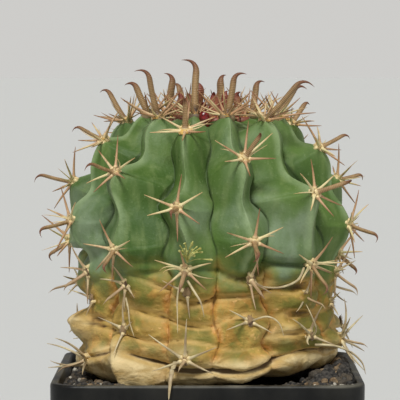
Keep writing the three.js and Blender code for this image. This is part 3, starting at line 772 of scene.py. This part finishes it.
def is_clear(spine):
    """Whether a spine passes clear of the grit and the rim."""
    line = spine_lines([spine])[0][0]
    for share in (0.3, 0.4, 0.5, 0.6, 0.7, 0.8, 0.9, 1):
        x, y, z = line[round(share * FINE_STEPS)]
        reach = max(abs(x), abs(y))
        beyond_rim = reach > POT_WIDTH / 2 + 1
        over_rim = reach > POT_WIDTH / 2 - 5 and z > RIM_Z + 1.2
        over_soil = reach <= POT_WIDTH / 2 - 5 and z > soil_top(x, y) + 2.5
        if not (beyond_rim or over_rim or over_soil):
            return False
    return True


# What colours a spine, each from 0 to 1
LOOKS = ("tone", "red", "dead", "broad", "band")


def make_spine(place, seed, angle, lift, length, width, curve=0.0, hook=0.0, flatness=1.0, **looks):
    to_side = lean(place, angle, 0)
    bend = lean(place, angle if 90 < angle < 270 else angle + 180, 0)
    spine = {
        "start": place["place"] + to_side * (ROOT_RING if hook == 0 else 0.2),
        "out": place["out"],
        "length": length * (1 + 0.1 * sway(seed, 7)),
        "width": width,
        "curve": curve,
        "hook": hook,
        "flatness": flatness,
        **{key: looks.get(key, 0.0) for key in LOOKS},
    }
    for raised in np.arange(0, MOST_RAISED, RAISE_STEP):
        spine["direction"] = unit(lean(place, angle, lift) + [0, 0, raised])
        spine["bend"] = unit(bend - spine["direction"] * np.dot(bend, spine["direction"]))
        if place["s"] <= 110 or is_clear(spine):
            break
    return spine


RADIAL_ANGLES = [0, 62, 118, 180, 242, 298]
RADIAL_LENGTHS = [13.5, 12.8, 11.5, 12.5, 12, 12.8]
# Hooked spines that don't point down their rib: rib and areole, angle, lift and length
HOOKS = {
    (1, 1): (197, 62, 18.5), (2, 1): (227, 83, 25.5), (3, 1): (257, 84, 25), (4, 1): (107, 76, 19.5),
    (5, 1): (137, 60, 24), (6, 1): (167, 66, 18), (4, 2): (52, 62, 15), (5, 2): (84, 58, 16.5),
    (3, 2): (8, 72, 14),
}


def spines_of(place):
    """The radial and the hooked spines of one areole."""
    s, seed = place["s"], place["seed"]
    crown = 1 - ramp(s, 16, 46)
    corky = ramp(s, 98, 110)
    foot = ramp(s, 124, 132)
    young = 1 - ramp(s, 8, 20)
    grown = mix(mix(1, 1.2, crown), 0.62, young) * mix(1, 0.8, corky) * mix(1, 1.5, foot)
    radials, centrals = [], []
    for i, angle in enumerate(RADIAL_ANGLES):
        lost = draw(seed, i + 50) < 0.55 * corky * (1 - foot)
        bent = i == 3 and seed == RIM_AREOLE
        if lost or bent or (young > 0.3 and i % 2 == 1) or (i == 3 and s < 20):
            continue
        radials.append(make_spine(
            place, seed * 7 + i,
            angle=angle + 12 * sway(seed, i),
            lift=mix(20, 40, max(crown, 0.5 * corky)) + 9 * sway(seed, i + 10),
            length=RADIAL_LENGTHS[i] * grown,
            width=RADIAL_WIDTH * mix(1, 0.85, corky) * mix(1, 1.25, foot),
            curve=(14 + 26 * corky) * sway(seed, i + 70),
            tone=(0.85 if i in (0, 2, 3) else 0.3) + 0.35 * sway(seed, i + 30) + 0.3 * crown,
            red=young * (0.4 + 0.6 * draw(seed, i + 40)),
            dead=corky,
        ))
    if corky < 0.5 or seed % 2 == 0:
        usual = (
            180 + 40 * sway(seed, 21),
            mix(70, 84, crown) + 5 * sway(seed, 22),
            mix(16.5, 21, crown) * mix(1, 0.5, young) * mix(1, 0.8, corky) * (0.9 + 0.12 * sway(seed, 23)),
        )
        angle, lift, length = HOOKS.get((seed // 20, seed % 20), usual)
        centrals.append(make_spine(
            place, seed * 7 + 6,
            angle=angle,
            lift=lift,
            length=length,
            width=mix(CENTRAL_WIDTH, CROWN_CENTRAL_WIDTH * HOOK_FULLNESS, crown) * mix(1, 0.6, corky),
            curve=-14,
            hook=105 * mix(1, 0.4, corky),
            flatness=0.78,
            tone=0.9,
            red=0.8 * young,
            dead=0.7 * corky,
            broad=1 - corky,
            band=crown,
        ))
    return radials, centrals


def thin_spines_of(place):
    """The fine, pale and often wavy spines at the sides of an areole."""
    s, seed = place["s"], place["seed"]
    crown = 1 - ramp(s, 24, 46)
    spines = []
    for i, angle in enumerate((82, 100, 262, 284, 68, 292)):
        if draw(seed, i + 80) < mix(0.6, 0.1, crown) or s > 104:
            continue
        spines.append(make_spine(
            place, seed * 7 + 40 + i,
            angle=angle + 14 * sway(seed, i + 85),
            lift=mix(22, 14, crown) + 14 * sway(seed, i + 90),
            length=mix(8, 12.5, draw(seed, i + 95)) * mix(1, 1.2, crown),
            width=mix(0.65, 0.8, crown),
            curve=mix(70, 25, crown) * sway(seed, i + 99),
            tone=0.9 * crown * draw(seed, i + 60),
            red=0.35 * crown * draw(seed, i + 65),
        ))
    for i, angle in enumerate((-28, 25, 155, 205)):
        if s > 36 or draw(seed, i + 110) < 0.2:
            continue
        spines.append(make_spine(
            place, seed * 7 + 50 + i,
            angle=angle + 20 * sway(seed, i + 115),
            lift=42 + 14 * sway(seed, i + 120),
            length=mix(9, 14, draw(seed, i + 125)),
            width=0.95,
            curve=20 * sway(seed, i + 130),
            tone=draw(seed, i + 135),
            red=0.5 * draw(seed, i + 140) * (1 - ramp(s, 12, 30)),
        ))
    return spines


def taper(column, share):
    """Half the width of a spine along it, as a share: a hooked one stays broad up to its bend."""
    straight = 1 - 0.35 * share - 0.5 * share**2
    hooked = 1 - 0.1 * share - 0.72 * ramp(share, HOOK_START, 1)
    return np.where(column["hook"][:, None] > 0, hooked, straight)


def sweep_spines(name, spines, sides, stride, material):
    """All the spines of a kind as one mesh, each with a root in the flesh and a sharp tip."""
    lines, column = spine_lines(spines)
    picks = np.arange(0, FINE_STEPS + 1, stride)
    picks = np.unique(np.concatenate([[0, 2, 4], picks]))
    line = lines[:, picks]
    share = picks / FINE_STEPS
    root = column["start"] - column["out"] * ROOT_SINK
    stations = np.concatenate([root[:, None], line], axis=1)
    share = np.concatenate([[0.0], share])
    flat_axis = unit(np.cross(column["direction"], column["bend"]))[:, None]
    heading = unit(np.gradient(stations, axis=1))
    thin = unit(np.cross(heading, flat_axis))
    reach = share[None] * column["length"][:, None]
    bulb = np.exp(-((reach / 1.0) ** 2))
    half = column["width"][:, None] / 2 * taper(column, share) * np.sqrt(1 - share**9) * (1 + 0.9 * bulb)
    half = np.maximum(half, 0.03)
    turn = 2 * math.pi * (np.arange(sides) + 0.5) / sides
    flatness = mix(column["flatness"][:, None], 1.0, bulb)
    wide = half[..., None, None] * np.cos(turn)[:, None] * flat_axis[:, :, None]
    deep = (half * flatness)[..., None, None] * np.sin(turn)[:, None] * thin[:, :, None]
    rings = stations[:, :, None] + wide + deep
    count, stops = rings.shape[:2]
    one = tube_faces(stops, sides)
    all_faces = [[base + i for i in face] for base in np.arange(count) * stops * sides for face in one]
    spread = np.ones((count, stops, sides))
    values = {
        "along": (spread * share[None, :, None]).ravel(),
        "reach": (spread * reach[..., None]).ravel(),
        "bulb": (spread * bulb[..., None]).ravel(),
    }
    for key in LOOKS:
        values[key] = (spread * np.clip(column[key], 0, 1)[:, None, None]).ravel()
    return add_mesh(name, rings.reshape(-1, 3), all_faces, material, values)


def make_spines(places):
    radials, centrals, fine = [], [], []
    for place in places:
        some, others = spines_of(place)
        radials += some
        centrals += others
        fine += thin_spines_of(place)
    horn = spine_material()
    sweep_spines("radial_spines", radials, 8, 5, horn)
    sweep_spines("central_spines", centrals, 10, 2, horn)
    sweep_spines("fine_spines", fine, 5, 4, horn)
    make_strays(horn)


def tube(line, widths, sides, flatness=1.0):
    """Rings of points around a line, as wide as given across its own bend."""
    heading = unit(np.gradient(line, axis=0))
    across = unit(np.cross(heading, line[-1] - line[0] + [0.01, 0.02, 1.0]))
    thin = np.cross(heading, across)
    turn = 2 * math.pi * np.arange(sides) / sides
    half = np.asarray(widths)[:, None, None] / 2
    wide = np.cos(turn)[:, None] * across[:, None]
    deep = flatness * np.sin(turn)[:, None] * thin[:, None]
    return line[:, None] + half * (wide + deep)


def on_skin(bearing, s, height):
    """A point given by its bearing, its distance along the outline and its height off it."""
    r, h, nr, nh = envelope_at(s)
    return around(math.radians(bearing), r + nr * height, RIM_Z + h + nh * height)


def make_strays(horn):
    """Old spines that hang from the corky areoles, and the flat one that bends over the rim."""
    heap = Heap()
    rim = [np.array([x, y, RIM_Z + z]) for x, y, z in RIM_SPINE]
    corner = [np.array([x, y, RIM_Z + z]) for x, y, z in CORNER_SPINE]
    strays = [(rim, RIM_SPINE_WIDTH, 0.5), (corner, 1.1, 1.0)]
    strays += [([on_skin(*stop) for stop in stops], width, 1.0) for width, stops in HANGING_SPINES]
    sides, count = 8, 24
    share = np.linspace(0, 1, count)
    for stops, width, flatness in strays:
        line = through(stops, count)
        rings = tube(line, width * (1 - 0.35 * share - 0.6 * share**5), sides, flatness)
        heap.add(rings, tube_faces(count, sides), along=np.repeat(share, sides), reach=0.0, bulb=0.0,
                 tone=0.2, red=0.0, dead=1.0, broad=0.0, band=0.0)
    heap.make("stray_spines", horn)


def make_sprig():
    """The dried remains of a flower on a corky areole at the front."""
    heap = Heap()
    foot = on_skin(*SPRIG_PLACE)
    sides, count = 5, 12
    for i in range(SPRIG_WISPS):
        lean_x = 7.5 * sway(i, 11) + 2.5
        rise = mix(3.0, 9.5, draw(i, 12)) * (1 - 0.05 * abs(lean_x))
        out = mix(1.0, 4.5, draw(i, 13))
        middle = foot + [0.4 * lean_x, -0.7 * out, 0.7 * rise]
        line = through([foot, middle, foot + [lean_x, -out, rise + 1.2 * sway(i, 14)]], count)
        share = np.linspace(0, 1, count)
        bud = np.exp(-(((share - 0.9) / 0.12) ** 2)) * (0.6 + draw(i, 15))
        rings = tube(line, 0.28 + 0.6 * bud, sides)
        heap.add(rings, tube_faces(count, sides))
    straw = plain_material("dried_flower", (150, 146, 66), (206, 204, 128), 500, 0.8)
    heap.make("dried_sprig", straw)


# Areoles and crown


def make_felt(places):
    """A cushion of felt with short fibres on every areole."""
    heap = Heap()
    rows, columns = 7, 18
    for place in places:
        out, along, right, seed = place["out"], place["along"], place["right"], place["seed"]
        age = ramp(place["s"], 20, 100)
        size = mix(*FELT_SCALES, age)
        lat = np.linspace(0.12, 1.75, rows)[:, None]
        lon = 2 * math.pi * np.arange(columns)[None] / columns
        rough = 1 + 0.2 * sway(seed + np.arange(columns)[None] * 1.7, np.arange(rows)[:, None])
        flat_r = FELT_RADIUS * size * np.sin(lat) * rough
        up = (flat_r * np.cos(lon))[..., None] * along * 1.25
        side = (flat_r * np.sin(lon))[..., None] * right
        high = (FELT_HEIGHT * size * np.cos(lat) * np.ones_like(lon))[..., None] * out
        points = place["place"] + up + side + high
        faces = [face[::-1] for face in grid_faces(rows, columns)] + [list(range(columns))]
        heap.add(points, faces, tone=0.3, age=age)
        for i in range(FIBRES):
            a = 2 * math.pi * draw(seed, i + 100)
            reach = 2.3 * size * math.sqrt(draw(seed, i + 200))
            foot = place["place"] + reach * (math.cos(a) * along * 1.25 + math.sin(a) * right) + 0.1 * out
            tilt = 0.7 * (math.cos(a) * along + math.sin(a) * right)
            spread = 0.5 * along * sway(seed, i + 300) + 0.5 * right * sway(seed, i + 600)
            tip = foot + unit(out + tilt + spread) * mix(0.9, 2.0, draw(seed, i + 400)) * size
            corner = 0.1 * unit(np.cross(out, tip - foot) + 0.01)
            other = 0.1 * unit(np.cross(tip - foot, corner))
            heap.add([foot + corner, foot - 0.5 * corner + other, foot - 0.5 * corner - other, tip],
                     [[0, 1, 3], [1, 2, 3], [2, 0, 3]], tone=draw(seed, i + 500), age=age)
    heap.make("areole_felt", felt_material())


def felt_material():
    n = Nodes("areole_felt")
    tone = n.attribute("tone")
    grain = n.noise(420, 3)
    young = n.blend(linear(206, 158, 66), linear(238, 210, 132), tone)
    old = n.blend(linear(112, 84, 54), linear(196, 170, 124), tone)
    colour = n.blend(young, old, n.span(n.attribute("age"), 0.1, 0.6))
    colour = n.blend(colour, linear(58, 34, 20), n.span(grain, 0.52, 0.66, 0, 0.8))
    n.set(Base_Color=colour, Roughness=0.9, Sheen_Weight=0.25)
    n.set(Normal=n.bump(grain, 0.6, 0.0006))
    return n.material


def make_fruit():
    """The young fruit in the crown: a small ovoid clad in overlapping scales."""
    bearing, distance, height = FRUIT_PLACE
    x, y, z = around(math.radians(bearing), distance, RIM_Z + height)
    rows, columns = 40, 40
    share = np.linspace(0, 1, rows)[:, None]
    turn = 2 * math.pi * np.arange(columns)[None] / columns
    lat = math.pi * share
    scales = np.maximum(0, np.cos(5 * turn + 9 * share * math.pi) * np.cos(13 * share)) * 0.3
    r = FRUIT_RADIUS * np.sin(lat) ** 0.8 + scales * np.sin(lat)
    points = np.stack([x + r * np.cos(turn), y + r * np.sin(turn),
                       z + 1 - FRUIT_REACH * np.cos(lat) * np.ones_like(turn)], -1)
    n = Nodes("young_fruit")
    grain = n.noise(300, 3)
    n.set(Base_Color=n.blend(linear(70, 8, 10), linear(140, 26, 26), n.span(grain, 0.35, 0.7)))
    n.set(Roughness=0.28, Normal=n.bump(grain, 0.2, 0.0004))
    add_mesh("young_fruit", points.reshape(-1, 3), grid_faces(rows, columns), n.material)


# The grit


def square_ring(half, corner, z, corner_steps=8, side_steps=20):
    ring = []
    for side in range(4):
        c, s = (1, 0, -1, 0)[side], (0, 1, 0, -1)[side]
        flat = []
        for i in range(corner_steps + 1):
            a = -math.pi / 2 + i / corner_steps * math.pi / 2
            flat.append((half - corner + corner * math.cos(a), -half + corner + corner * math.sin(a)))
        for i in range(1, side_steps):
            flat.append((half, mix(-half + corner, half - corner, i / side_steps)))
        ring += [(c * x - s * y, s * x + c * y, z) for x, y in flat]
    return np.array(ring, float)


def wall_half(z):
    return mix(POT_FOOT_WIDTH, POT_WIDTH - 2 * COLLAR_STEP, z / POT_HEIGHT) / 2


def underside(rho):
    """Height of the plant's underside over a point at distance rho from its axis."""
    s = np.linspace(130, OUTLINE[0][-1], 200)
    r, h, _, _ = envelope_at(s)
    return RIM_Z + np.interp(rho, r[::-1], h[::-1], left=ENVELOPE[-1][1])


def bed_height(x, y):
    rho = np.hypot(x, y)
    low = np.where(rho < 51, underside(rho) - 0.6, 1e3)
    return np.minimum(soil_top(x, y), low)


def make_soil_bed():
    half_top = wall_half(RIM_Z + SOIL_LEVEL - 3.5) - POT_WALL - GAP
    corner = POT_CORNER - POT_WALL - GAP
    outer = square_ring(half_top, corner, 0)
    floor_z = POT_FLOOR + GAP
    rings = [square_ring(wall_half(floor_z) - POT_WALL - GAP, corner, floor_z)]
    for scale in np.linspace(1, 0.04, 46):
        ring = outer * [scale, scale, 0]
        rough = noise_at(ring, 3.0, 5.0) * 0.8 * (scale < 1)
        ring[:, 2] = bed_height(ring[:, 0], ring[:, 1]) - 0.6 + rough
        rings.append(ring)
    points = np.concatenate(rings + [[[0, 0, floor_z], [0, 0, RIM_Z - 7]]])
    faces = closed_faces(len(rings), len(outer))
    dark = plain_material("soil_dark", (26, 22, 18), (60, 50, 38), 300, 0.95, 0.8, 0.001)
    bed = add_mesh("soil_bed", points, faces, dark)
    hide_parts("soil")


def stone_shape():
    """A unit ball of 80 faces as points and faces."""
    mesh = bpy.data.meshes.new("ball")
    ball = bmesh.new()
    bmesh.ops.create_icosphere(ball, subdivisions=2, radius=1.0)
    ball.to_mesh(mesh)
    ball.free()
    points = np.array([v.co[:] for v in mesh.vertices])
    faces = [list(p.vertices) for p in mesh.polygons]
    bpy.data.meshes.remove(mesh)
    return points, faces


def make_grit():
    ball, faces = stone_shape()
    heap = Heap()
    placed = 0
    i = 0
    reach = wall_half(RIM_Z) - POT_WALL - 1.2
    while placed < STONES:
        i += 1
        x, y = reach * sway(i, 1), reach * sway(i, 2)
        size = mix(*STONE_SIZES, draw(i, 3) ** 2.2)
        tone = draw(i, 10)
        if i % LARGE_EVERY == 0:  # a large lump on the heap at the right
            x, y, size = mix(40, 54, draw(i, 1)), 46 * sway(i, 2), mix(*LARGE_SIZES, tone)
            tone = 0.85 if draw(i, 12) > 0.84 else 0.6 * draw(i, 11)
        elif i % PALE_EVERY == 1:  # a small pale stone along the front
            y, size, tone = -reach + 1.5 * draw(i, 2), mix(*PALE_SIZES, draw(i, 3)), 0.98
        rho = math.hypot(x, y)
        if rho < 45:
            continue
        z = bed_height(x, y) - 0.3 * size + 0.5 * size * draw(i, 8)
        if rho < 54 and z + size > underside(rho) - 0.2:
            continue
        squash = np.array([mix(0.75, 1.15, draw(i, 4)), 1.0, mix(0.6, 0.95, draw(i, 5))])
        spin = np.array(Euler([6 * draw(i, key) for key in (6, 7, 9)]).to_matrix())
        lumps = 1 + 0.28 * noise_at(ball + i * 3.1, 1.1)
        stone = (ball * lumps[:, None] * squash * size) @ spin.T + [x, y, z]
        limit = wall_half(RIM_Z + SOIL_LEVEL) - POT_WALL - 0.15
        if np.abs(stone[:, :2]).max() > limit:
            continue
        heap.add(stone, faces, tone=tone)
        placed += 1
    heap.make("grit", grit_material(), smooth=False)


# The pot


def make_pot():
    rim = POT_WIDTH / 2
    collar = POT_HEIGHT - COLLAR_HEIGHT
    profile = [  # half width, how far inside it the ring lies, height, wear
        (wall_half(0), 2.0, 0.0, 0.3),
        (wall_half(0), 0.6, 0.5, 0.5),
        (wall_half(2), 0, 2.0, 0.3),
        (wall_half(20), 0, 20.0, 0.1),
        (wall_half(collar), 0, collar, 0.1),
        (rim - 0.9, 0, collar + 0.1, 0.1),
        (rim - 0.4, 0, collar + 0.6, 0.4),
        (rim - 0.1, 0, collar + 2.0, 0.15),
        (rim, 0, POT_HEIGHT - 1.2, 0.3),
        (rim, 0.12, POT_HEIGHT - 0.45, 0.9),
        (rim, 0.5, POT_HEIGHT - 0.06, 1.0),
        (rim, 0.9, POT_HEIGHT, 1.0),
        (wall_half(POT_HEIGHT), POT_WALL - 0.4, POT_HEIGHT, 1.0),
        (wall_half(POT_HEIGHT), POT_WALL, POT_HEIGHT - 0.3, 0.9),
        (wall_half(POT_HEIGHT - 8), POT_WALL, POT_HEIGHT - 8, 0.35),
        (wall_half(POT_FLOOR), POT_WALL, POT_FLOOR, 0.0),
    ]
    rings = [square_ring(half - inset, POT_CORNER - inset, z, 12, 6) for half, inset, z, _ in profile]
    columns = len(rings[0])
    points = np.concatenate(rings + [[[0, 0, 0], [0, 0, POT_FLOOR]]])
    faces = closed_faces(len(rings), columns)
    worn = np.append(np.repeat([p[3] for p in profile], columns), [0.2, 0])
    pot = add_mesh("pot_shell", points, faces, pot_material(), {"worn": worn})
    drill_holes(pot)
    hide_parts("pot")


def drill_holes(pot):
    """Cuts the four drain holes through the pot's floor."""
    drills = bmesh.new()
    for side_x in (-1, 1):
        for side_y in (-1, 1):
            place = Vector((side_x, side_y, 0)) * DRAIN_PITCH / 2 * MM
            bmesh.ops.create_cone(
                drills, cap_ends=True, segments=40, radius1=DRAIN_HOLE / 2 * MM,
                radius2=DRAIN_HOLE / 2 * MM, depth=4 * POT_FLOOR * MM, matrix=Matrix.Translation(place),
            )
    mesh = bpy.data.meshes.new("drills")
    drills.to_mesh(mesh)
    drills.free()
    tool = bpy.data.objects.new("drills", mesh)
    bpy.context.scene.collection.objects.link(tool)
    cut = pot.modifiers.new("holes", "BOOLEAN")
    cut.operation = "DIFFERENCE"
    cut.solver = "EXACT"
    cut.object = tool
    shaped = pot.evaluated_get(bpy.context.evaluated_depsgraph_get())
    pot.data = bpy.data.meshes.new_from_object(shaped)
    pot.modifiers.clear()
    bpy.data.objects.remove(tool)


# Floor, light and camera


def make_stage():
    me = bpy.data.meshes.new("floor")
    size = 60.0
    corners = [(-size, -size, 0), (size, -size, 0), (size, size, 0), (-size, size, 0)]
    me.from_pydata(corners, [], [[0, 1, 2, 3]])
    floor = bpy.data.objects.new("floor", me)
    n = Nodes("floor_pale")
    n.set(Base_Color=linear(211, 212, 209), Roughness=0.9)
    me.materials.append(n.material)
    bpy.context.scene.collection.objects.link(floor)
    world = bpy.data.worlds.new("soft_world")
    world.use_nodes = True
    background = world.node_tree.nodes["Background"]
    background.inputs["Color"].default_value = linear(222, 221, 218)
    where = world.node_tree.nodes.new("ShaderNodeTexCoord")
    split = world.node_tree.nodes.new("ShaderNodeSeparateXYZ")
    fall = world.node_tree.nodes.new("ShaderNodeMapRange")
    fall.inputs["From Min"].default_value = FADE_START
    fall.inputs["From Max"].default_value = FADE_END
    fall.inputs["To Min"].default_value = WORLD_AT_HORIZON
    fall.inputs["To Max"].default_value = WORLD_OVERHEAD
    world.node_tree.links.new(where.outputs["Generated"], split.inputs[0])
    world.node_tree.links.new(split.outputs["Z"], fall.inputs["Value"])
    world.node_tree.links.new(fall.outputs[0], background.inputs["Strength"])
    bpy.context.scene.world = world


def add_sun(name, place, strength, spread):
    data = bpy.data.lights.new(name, "SUN")
    data.energy = strength
    data.angle = math.radians(spread)
    light = bpy.data.objects.new(name, data)
    light.location = place
    light.rotation_euler = Vector(place).to_track_quat("Z", "Y").to_euler()
    bpy.context.scene.collection.objects.link(light)


def make_camera():
    focal = FRONT_SPAN / POT_WIDTH * CAMERA_TO_RIM  # pixels
    data = bpy.data.cameras.new("camera")
    data.sensor_width = SENSOR
    data.lens = focal / IMAGE * SENSOR
    data.clip_end = 50
    camera = bpy.data.objects.new("camera", data)
    camera.location = Vector((0, -POT_WIDTH / 2 - CAMERA_TO_RIM, RIM_Z + CAMERA_ABOVE_RIM)) * MM
    pitch = math.atan((IMAGE / 2 - HORIZON) / focal)
    yaw = math.atan((FRONT_CENTRE - IMAGE / 2) / focal)
    camera.rotation_euler = (math.pi / 2 - pitch, 0, yaw)
    bpy.context.scene.collection.objects.link(camera)
    bpy.context.scene.camera = camera


make_camera()
make_stage()
add_sun("key", *KEY_SUN)
add_sun("fill", *FILL_SUN)

PLACES = [areole_frame(k, i) for k in range(RIB_COUNT) for i in range(len(RIBS[k][1]))]
make_skin()
make_spines(PLACES)
make_felt(PLACES)
make_fruit()
make_sprig()
make_soil_bed()
make_grit()
make_pot()

bpy.context.scene.view_settings.view_transform = "Standard"

bpy.context.view_layer.update()
